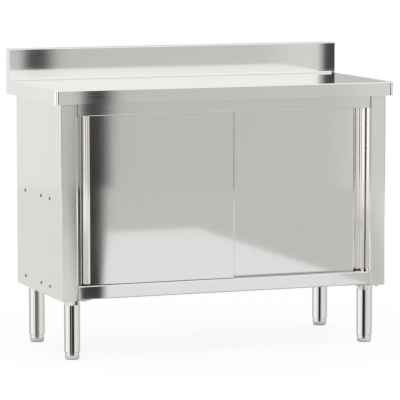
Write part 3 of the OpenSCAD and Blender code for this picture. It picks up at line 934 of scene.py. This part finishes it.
    def _ring(self) -> None:
        """Stands the ring of screens up, with its tone stored at its corners."""
        mesh = bmesh.new()
        layer = mesh.verts.layers.float.new("tone")
        columns = []
        for azimuth, tone in self.tones:
            turn = math.radians(azimuth)
            front = abs(azimuth) < 62.0
            top = self.front_top if front else self.back_top
            above = self.glow if front else self.back_glow
            rows = ((-0.02, tone), (top - 0.15, tone), (top, above), (self.glow_top, above))
            column = []
            for height, shade in rows:
                vert = mesh.verts.new(
                    (self.radius * math.sin(turn), -self.radius * math.cos(turn), height)
                )
                vert[layer] = shade
                column.append(vert)
            columns.append(column)
        for near, far in zip(columns, columns[1:]):
            for low in range(len(near) - 1):
                mesh.faces.new((near[low], far[low], far[low + 1], near[low + 1]))
        self._place(mesh, "screens")

    def _card(self) -> None:
        """Stands one narrow dark card with a soft side near the end of the upstand."""
        mesh = bmesh.new()
        layer = mesh.verts.layers.float.new("tone")
        columns = []
        for x, tone in self.card:
            column = []
            for height in self.card_heights:
                vert = mesh.verts.new((x, self.card_row, height))
                vert[layer] = tone
                column.append(vert)
            columns.append(column)
        for near, far in zip(columns, columns[1:]):
            mesh.faces.new((near[0], far[0], far[1], near[1]))
        self._place(mesh, "card")

    def _place(self, mesh: bmesh.types.BMesh, name: str) -> None:
        """Puts one screen in the scene so that only reflections show it.

        Args:
            mesh: Its mesh.
            name: Its name.
        """
        data = bpy.data.meshes.new(name)
        mesh.to_mesh(data)
        mesh.free()
        screen = bpy.data.objects.new(name, data)
        bpy.context.scene.collection.objects.link(screen)
        bench = NodeBench(name)
        tone = bench.node("ShaderNodeAttribute", attribute_name="tone")
        glow = bench.node("ShaderNodeEmission")
        glow.inputs["Color"].default_value = (*self.warmth, 1.0)
        bench.link(tone.outputs["Fac"], glow.inputs["Strength"])
        bench.link(glow.outputs["Emission"], bench.output.inputs["Surface"])
        data.materials.append(bench.material)
        screen.visible_camera = False
        screen.visible_diffuse = False
        screen.visible_shadow = False
        screen.visible_transmission = False


@dataclass
class Studio:
    """Pale studio with soft, even light."""

    lamp_power: float = 8.0
    camera: CameraStand = field(default_factory=CameraStand)
    floor: Floor = field(default_factory=Floor)
    screens: Screens = field(default_factory=Screens)

    def build(self) -> None:
        """Sets up the camera, floor, screens, lamp and world."""
        bpy.context.scene.view_settings.view_transform = "Standard"
        self.camera.build()
        self.floor.build()
        self.screens.build()
        self._world()
        self._lamp()
        LOG.info("studio ready")

    def _world(self) -> None:
        """Lights the table evenly from all round with a plain white."""
        world = bpy.data.worlds.new("studio")
        world.use_nodes = True
        back = world.node_tree.nodes["Background"]
        back.inputs["Color"].default_value = (1.0, 1.0, 1.0, 1.0)
        back.inputs["Strength"].default_value = 1.0
        bpy.context.scene.world = world

    def _lamp(self) -> None:
        """Hangs one wide soft lamp above and in front of the table."""
        data = bpy.data.lights.new("soft_box", "AREA")
        data.shape = "RECTANGLE"
        data.size, data.size_y = 2.4, 1.6
        data.energy = self.lamp_power
        lamp = bpy.data.objects.new("soft_box", data)
        lamp.matrix_world = facing(Vector((-1.2, -1.8, 3.4)), Vector((-0.35, -0.5, 1.0)))
        bpy.context.scene.collection.objects.link(lamp)


# ---- Fasteners ----------------------------------------------------------------


@dataclass(frozen=True)
class CrossScrew:
    """Screw with a low domed head and a cross recess."""

    head_radius: float
    head_height: float
    shank_radius: float

    def template(self, length: float) -> bmesh.types.BMesh:
        """Builds one screw whose head stands on the xy plane.

        Args:
            length: Length of its shank.

        Returns:
            The screw's mesh.
        """
        blank, tool = Shape(), Shape()
        dome = [
            (
                self.head_radius * math.cos(turn),
                self.head_height * (0.35 + 0.65 * math.sin(turn)),
            )
            for turn in (math.radians(15.0 * step) for step in range(6))
        ]
        blank.lathe(
            [
                (0.0, -length), (0.8 * self.shank_radius, -length),
                (self.shank_radius, 0.2 * self.shank_radius - length),
                (self.shank_radius, 0.0), (0.97 * self.head_radius, 0.0),
                *dome, (0.0, self.head_height),
            ],
            Matrix(),
        )
        wide, slim = 0.56 * self.head_radius, 0.13 * self.head_radius
        corner = ((wide, -slim), (wide, slim), (slim, slim))
        outline = [
            (
                x * math.cos(turn) - y * math.sin(turn),
                x * math.sin(turn) + y * math.cos(turn),
            )
            for turn in (math.radians(90.0 * step) for step in range(4))
            for x, y in corner
        ]
        tool.prism(outline, 0.35 * self.head_height, 2.0 * self.head_height, Matrix())
        return cut(blank, tool)

    def build(self, name: str, places: Sequence[Matrix], length: float) -> bpy.types.Object:
        """Builds one piece of several screws.

        Args:
            name: Name of the piece.
            places: Seat of each head, with z pointing out of the sheet.
            length: Length of the shanks.

        Returns:
            The piece.
        """
        shape = Shape()
        template = self.template(length)
        for place in places:
            shape.take(template.copy(), place)
        template.free()
        return shape.finish(name)


@dataclass(frozen=True)
class DomedRivet:
    """Rivet with a domed head outside and a smaller one inside."""

    head_radius: float = 0.0032
    head_height: float = 0.0013
    body_radius: float = 0.0016
    back_radius: float = 0.0024
    back_height: float = 0.0016

    def add(self, shape: Shape, place: Matrix, length: float) -> None:
        """Adds one rivet to a shape.

        Args:
            shape: The shape it joins.
            place: Seat of its outer head, with z pointing out of the sheet.
            length: Length from the seat to the end of the inner head.
        """
        dome = [
            (self.head_radius * math.cos(turn), self.head_height * math.sin(turn))
            for turn in (math.radians(15.0 * step) for step in range(6))
        ]
        back = self.back_height - length
        shape.lathe(
            [
                (0.0, -length), (0.7 * self.back_radius, -length),
                (self.back_radius, 0.4 * self.back_height - length),
                (self.back_radius, back), (self.body_radius, back),
                (self.body_radius, 0.0), *dome, (0.0, self.head_height),
            ],
            place,
            24,
        )


# ---- Sub-assemblies -----------------------------------------------------------


@dataclass
class Worktop:
    """Worktop with its upstand, nuts and hat channels."""

    bench: Bench
    bore: float = 0.0025
    flange_radius: float = 0.0055

    def build(self) -> None:
        """Dresses the worktop and what hangs under it."""
        rack = self.bench.rack
        self.bench.dress(["worktop"], rack.top)
        self.bench.dress(["top_channel_front", "top_channel_rear"], rack.mill)
        self._nuts()

    def _nuts(self) -> None:
        """Builds the flanged nuts under the worktop's studs."""
        shape = Shape()
        for low, high in solids_of(self.bench, "worktop_nuts"):
            across = min(high.x - low.x, 2.0 * self.flange_radius)
            seat = Vector(((low.x + high.x) / 2.0, (low.y + high.y) / 2.0, high.z))
            place = facing(seat, Vector((0.0, 0.0, -1.0)))
            tall = high.z - low.z
            shape.hexagon(across, 0.2 * tall, tall, self.bore, place)
            shape.lathe(
                [
                    (self.bore, 0.0), (self.flange_radius, 0.0),
                    (self.flange_radius, 0.12 * tall), (0.5 * across, 0.26 * tall), (self.bore, 0.26 * tall),
                ],
                place,
            )
        piece = shape.finish("flanged_nuts")
        self.bench.hang(piece, "frame", self.bench.rack.bright, ["worktop_nuts"])


@dataclass
class Cabinet:
    """Closed body of the table: panels, shelves, rail and base channels."""

    bench: Bench
    screw: CrossScrew = CrossScrew(0.0049, 0.0024, 0.0025)
    rivet: DomedRivet = DomedRivet()
    bore: float = 0.0026

    def build(self) -> None:
        """Dresses the sheets and builds the fasteners."""
        rack = self.bench.rack
        self.bench.dress(["side_panel_left", "side_panel_right", "back_panel"], rack.side)
        self.bench.dress(["bottom_shelf", "middle_shelf", "front_rail"], rack.front)
        self.bench.dress(
            ["shelf_channel", "shelf_brackets", "base_channel_left", "base_channel_right"],
            rack.mill,
        )
        self._screws()
        self._nuts()
        self._rivets()

    def _screws(self) -> None:
        """Builds the cross-recessed screws of the side panels."""
        places, length = [], 0.0
        for low, high in solids_of(self.bench, "side_screws"):
            centre = (low + high) / 2.0
            side = math.copysign(1.0, centre.x)
            outer = high.x if side > 0.0 else low.x
            seat = Vector((outer - side * 0.0025, centre.y, centre.z))
            length = high.x - low.x - 0.0025
            places.append(facing(seat, Vector((side, 0.0, 0.0))))
        piece = self.screw.build("side_panel_screws", places, length)
        self.bench.hang(piece, "frame", self.bench.rack.screw, ["side_screws"])

    def _nuts(self) -> None:
        """Builds the nuts inside the side panels."""
        shape = Shape()
        for low, high in solids_of(self.bench, "side_nuts"):
            centre = (low + high) / 2.0
            side = math.copysign(1.0, centre.x)
            outer = high.x if side > 0.0 else low.x
            place = facing(Vector((outer, centre.y, centre.z)), Vector((-side, 0.0, 0.0)))
            across = max(high.y - low.y, high.z - low.z)
            shape.hexagon(across, 0.0, high.x - low.x, self.bore, place)
        piece = shape.finish("side_panel_nuts")
        self.bench.hang(piece, "frame", self.bench.rack.bright, ["side_nuts"])

    def _rivets(self) -> None:
        """Builds the rivets of the back panel."""
        shape = Shape()
        for low, high in solids_of(self.bench, "back_rivets"):
            centre = (low + high) / 2.0
            seat = high.y - self.rivet.head_height
            place = facing(Vector((centre.x, seat, centre.z)), Vector((0.0, 1.0, 0.0)))
            self.rivet.add(shape, place, seat - low.y)
        piece = shape.finish("back_panel_rivets")
        self.bench.hang(piece, "frame", self.bench.rack.bright, ["back_rivets"])


@dataclass
class DoorGear:
    """Tracks, stops and floor guide."""

    bench: Bench
    track_screw: CrossScrew = CrossScrew(0.0037, 0.0022, 0.002)
    guide_screw: CrossScrew = CrossScrew(0.0037, 0.0012, 0.0019)
    stop_radius: float = 0.0016
    guide_base: float = 0.0025
    guide_web: float = 0.0003
    fin_thickness: float = 0.004
    fin_length: float = 0.018
    fin_start: float = 0.012

    def build(self) -> None:
        """Dresses the tracks and builds the stops, the guide and the screws."""
        rack = self.bench.rack
        self.bench.dress(["track_front", "track_rear"], rack.track)
        self._screws()
        self._stops()
        self._guide()

    def _screws(self) -> None:
        """Builds the screws of the tracks and of the floor guide."""
        places, length = [], 0.0
        for low, high in solids_of(self.bench, "track_screws"):
            centre = (low + high) / 2.0
            seat = Vector((centre.x, centre.y, low.z + self.track_screw.head_height))
            length = high.z - seat.z
            places.append(facing(seat, Vector((0.0, 0.0, -1.0))))
        piece = self.track_screw.build("track_screw_heads", places, length)
        self.bench.hang(piece, "frame", self.bench.rack.bright, ["track_screws"])
        places = []
        for low, high in solids_of(self.bench, "guide_screws"):
            centre = (low + high) / 2.0
            seat = Vector((centre.x, centre.y, high.z - self.guide_screw.head_height))
            length = seat.z - low.z
            places.append(facing(seat, Vector((0.0, 0.0, 1.0))))
        piece = self.guide_screw.build("guide_screw_heads", places, length)
        self.bench.hang(piece, "frame", self.bench.rack.bright, ["guide_screws"])

    def _stops(self) -> None:
        """Builds the rounded rubber stops in the tracks."""
        shape = Shape()
        for low, high in solids_of(self.bench, "track_stops"):
            shape.block(tuple(low), tuple(high), self.stop_radius, 4)
        piece = shape.finish("rubber_stops")
        self.bench.hang(piece, "frame", self.bench.rack.rubber, ["track_stops"])

    def _guide(self) -> None:
        """Builds the floor guide: two pads on a thin web, with a groove for the rear door's edge."""
        low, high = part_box("floor_guide")
        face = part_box("door_right_skin")[0].y
        fronts = [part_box(f"door_{side}_skin") for side in ("left", "right")]
        shape = Shape()
        base = low.z + self.guide_base
        shape.block(tuple(low), (high.x, face - 0.0007, base), 0.0008)
        shape.block((low.x, face + 0.0017, low.z), (high.x, high.y, base), 0.0008)
        shape.block(
            (low.x + 0.001, face - 0.0012, low.z),
            (high.x - 0.001, face + 0.0022, low.z + self.guide_web),
            0.0001,
            1,
        )
        for number, (front, rear) in enumerate(fronts):
            row = (front.y + rear.y) / 2.0
            start = self.fin_start if number == 0 else -self.fin_start - self.fin_length
            shape.block(
                (start, row - self.fin_thickness / 2.0, base - 0.0005),
                (start + self.fin_length, row + self.fin_thickness / 2.0, high.z),
                0.0012,
            )
        piece = shape.finish("floor_guide_moulding")
        self.bench.hang(piece, "frame", self.bench.rack.white, ["floor_guide"])


@dataclass
class SlidingDoor:
    """One hollow door with its hangers and rollers."""

    bench: Bench
    side: str
    groove_start: float = 0.0147
    groove_width: float = 0.025
    groove_slope: float = 0.014
    groove_depth: float = 0.014
    edge_drop: float = 0.0034
    groove_drop: float = 0.0012
    edge_lap: float = 0.002
    edge_thickness: float = 0.0007
    edge_inset: float = 0.00015
    bore: float = 0.00255
    screw: CrossScrew = CrossScrew(0.0034, 0.0022, 0.0019)

    def build(self) -> None:
        """Dresses the door and builds its lower edge, screws and rollers."""
        rack = self.bench.rack
        name = f"door_{self.side}"
        self.bench.dress([f"{name}_skin", f"{name}_liner"], rack.door)
        self.bench.dress([f"{name}_channel"], rack.track)
        self.bench.dress(
            [f"{name}_{part}" for part in ("hanger_outer", "hanger_inner", "axles")],
            rack.plate,
        )
        self._lower_edge(name)
        self._screws(name)
        for row in ("outer", "inner"):
            self._rollers(f"{name}_rollers_{row}")

    def _lower_edge(self, name: str) -> None:
        """Builds the front sheet's lower edge, raised at the groove to clear the floor guide.

        Args:
            name: The door's name.
        """
        low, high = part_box(f"{name}_skin")
        width = high.x - low.x
        start, end = self.groove_start, self.groove_start + self.groove_width
        groove = [
            (start, 0.0), (start, self.groove_depth),
            (end - self.groove_slope, self.groove_depth), (end, 0.0),
        ]
        runs = [
            ([(0.003, 0.0), (start, 0.0)], self.edge_drop),
            (groove, self.groove_drop),
            ([(end, 0.0), (width - 0.005, 0.0)], self.edge_drop),
        ]
        outer = low.x if self.side == "left" else high.x
        turn = 1.0 if self.side == "left" else -1.0
        shape = Shape()
        for path, drop in runs:
            line = [(outer + turn * x, low.y + self.edge_inset + y) for x, y in path]
            if turn < 0.0:
                line.reverse()
            shape.ribbon(
                line, self.edge_thickness, low.z - drop, low.z + self.edge_lap, Matrix()
            )
        piece = shape.finish(f"{name}_lower_edge")
        self.bench.hang(piece, name, self.bench.rack.door)

    def _screws(self, name: str) -> None:
        """Builds the screws that hold the hangers.

        Args:
            name: The door's name.
        """
        places, length = [], 0.0
        for low, high in solids_of(self.bench, f"{name}_screws"):
            centre = (low + high) / 2.0
            seat = Vector((centre.x, centre.y, high.z - self.screw.head_height))
            length = seat.z - low.z
            places.append(facing(seat, Vector((0.0, 0.0, 1.0))))
        piece = self.screw.build(f"{name}_hanger_screws", places, length)
        self.bench.hang(piece, name, self.bench.rack.bright, [f"{name}_screws"])

    def _rollers(self, name: str) -> None:
        """Builds one pair of crowned nylon rollers with a hub and a sunk web.

        Args:
            name: The rollers' node and body.
        """
        shape = Shape()
        for low, high in solids_of(self.bench, name):
            centre = (low + high) / 2.0
            radius, wide = (high.z - low.z) / 2.0, high.y - low.y
            half = [
                (self.bore, 0.0), (0.48 * radius, 0.0), (0.52 * radius, 0.10 * wide),
                (0.76 * radius, 0.10 * wide), (0.80 * radius, 0.0),
                (0.95 * radius, 0.02 * wide), (0.985 * radius, 0.12 * wide),
                (radius, 0.38 * wide),
            ]
            profile = [*half, *((reach, wide - height) for reach, height in reversed(half))]
            place = facing(Vector((centre.x, low.y, centre.z)), Vector((0.0, 1.0, 0.0)))
            shape.lathe(profile, place, 64)
        piece = shape.finish(f"{name}_turned")
        self.bench.hang(piece, name, self.bench.rack.white, [name])


@dataclass
class LegSet:
    """Four legs with their plates, plugs, feet, bolts and nuts."""

    bench: Bench
    corners: Sequence[str] = ("front_left", "front_right", "rear_left", "rear_right")
    foot_height: float = 0.030
    sole_radius: float = 0.004
    ring_height: float = 0.021
    ring_depth: float = 0.0004
    stud_radius: float = 0.006
    thread_pitch: float = 0.00175
    thread_depth: float = 0.0009
    bolt_across: float = 0.015
    bolt_radius: float = 0.00395
    bolt_head: float = 0.0053
    washer_radius: float = 0.0085
    washer: float = 0.0012

    def build(self) -> None:
        """Dresses the legs and builds the feet, bolts and nuts."""
        rack = self.bench.rack
        for corner in self.corners:
            self.bench.dress([f"leg_plate_{corner}"], rack.plate)
            self.bench.dress([f"leg_tube_{corner}"], rack.tube)
            self.bench.dress([f"leg_insert_{corner}"], rack.black)
            self._foot(corner)
        self._bolts()
        self._nuts()

    def _foot(self, corner: str) -> None:
        """Builds a turned foot with a rounded sole, turned rings and a threaded stud.

        Args:
            corner: Name of the leg.
        """
        low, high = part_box(f"foot_{corner}")
        centre = (low + high) / 2.0
        radius, tall = (high.x - low.x) / 2.0, high.z - low.z
        sole = [
            (
                radius - self.sole_radius * (1.0 - math.sin(turn)),
                self.sole_radius * (1.0 - math.cos(turn)),
            )
            for turn in (math.radians(15.0 * step) for step in range(7))
        ]
        ring, depth = self.ring_height, self.ring_depth
        profile = [
            (0.0, 0.0), *sole,
            (radius, ring), (radius - depth, ring + depth), (radius - depth, ring + 2.5 * depth),
            (radius, ring + 3.5 * depth), (radius, self.foot_height - 0.001),
            (radius - 0.001, self.foot_height), (self.stud_radius, self.foot_height),
        ]
        count = int((tall - self.foot_height - 0.003) / self.thread_pitch)
        for turn in range(count):
            start = self.foot_height + 0.001 + turn * self.thread_pitch
            profile.append((self.stud_radius, start))
            profile.append((self.stud_radius - self.thread_depth, start + 0.5 * self.thread_pitch))
        profile += [(self.stud_radius, tall - 0.0015), (self.stud_radius - 0.001, tall), (0.0, tall)]
        shape = Shape()
        shape.lathe(profile, Matrix.Translation((centre.x, centre.y, low.z)), 64)
        piece = shape.finish(f"foot_{corner}_turned")
        self.bench.hang(
            piece, f"foot_{corner}", self.bench.rack.turned, [f"foot_{corner}"]
        )

    def _bolts(self) -> None:
        """Builds the hexagon bolts with washers under the leg plates."""
        shape = Shape()
        for low, high in solids_of(self.bench, "leg_bolts"):
            centre = (low + high) / 2.0
            seat = Vector((centre.x, centre.y, low.z + self.bolt_head))
            place = facing(seat, Vector((0.0, 0.0, -1.0)))
            shape.hexagon(self.bolt_across, self.washer, self.bolt_head, 0.0, place)
            shank = seat.z - high.z
            shape.lathe(
                [
                    (0.0, shank), (self.bolt_radius - 0.0008, shank),
                    (self.bolt_radius, shank + 0.0008), (self.bolt_radius, 0.0),
                    (self.washer_radius - 0.0002, 0.0), (self.washer_radius, 0.0002),
                    (self.washer_radius, self.washer - 0.0002),
                    (self.washer_radius - 0.0002, self.washer), (0.0, self.washer),
                ],
                place,
            )
        piece = shape.finish("leg_plate_bolts")
        self.bench.hang(piece, "frame", self.bench.rack.bright, ["leg_bolts"])

    def _nuts(self) -> None:
        """Builds the nuts above the leg plates."""
        shape = Shape()
        for low, high in solids_of(self.bench, "leg_nuts"):
            centre = (low + high) / 2.0
            place = Matrix.Translation((centre.x, centre.y, low.z))
            shape.hexagon(self.bolt_across, 0.0, high.z - low.z, self.bolt_radius, place)
        piece = shape.finish("leg_plate_nuts")
        self.bench.hang(piece, "frame", self.bench.rack.bright, ["leg_nuts"])


def main(frame: dict[str, Any]) -> None:
    """Builds the whole table and its studio.
    """
    logging.basicConfig(level=logging.INFO, format="%(name)s: %(message)s")
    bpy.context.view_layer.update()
    bench = Bench(frame, FinishRack())
    Studio().build()
    Worktop(bench).build()
    Cabinet(bench).build()
    DoorGear(bench).build()
    SlidingDoor(bench, "left").build()
    SlidingDoor(bench, "right").build()
    LegSet(bench).build()


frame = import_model()

if __name__ == "__main__":
    main(frame)
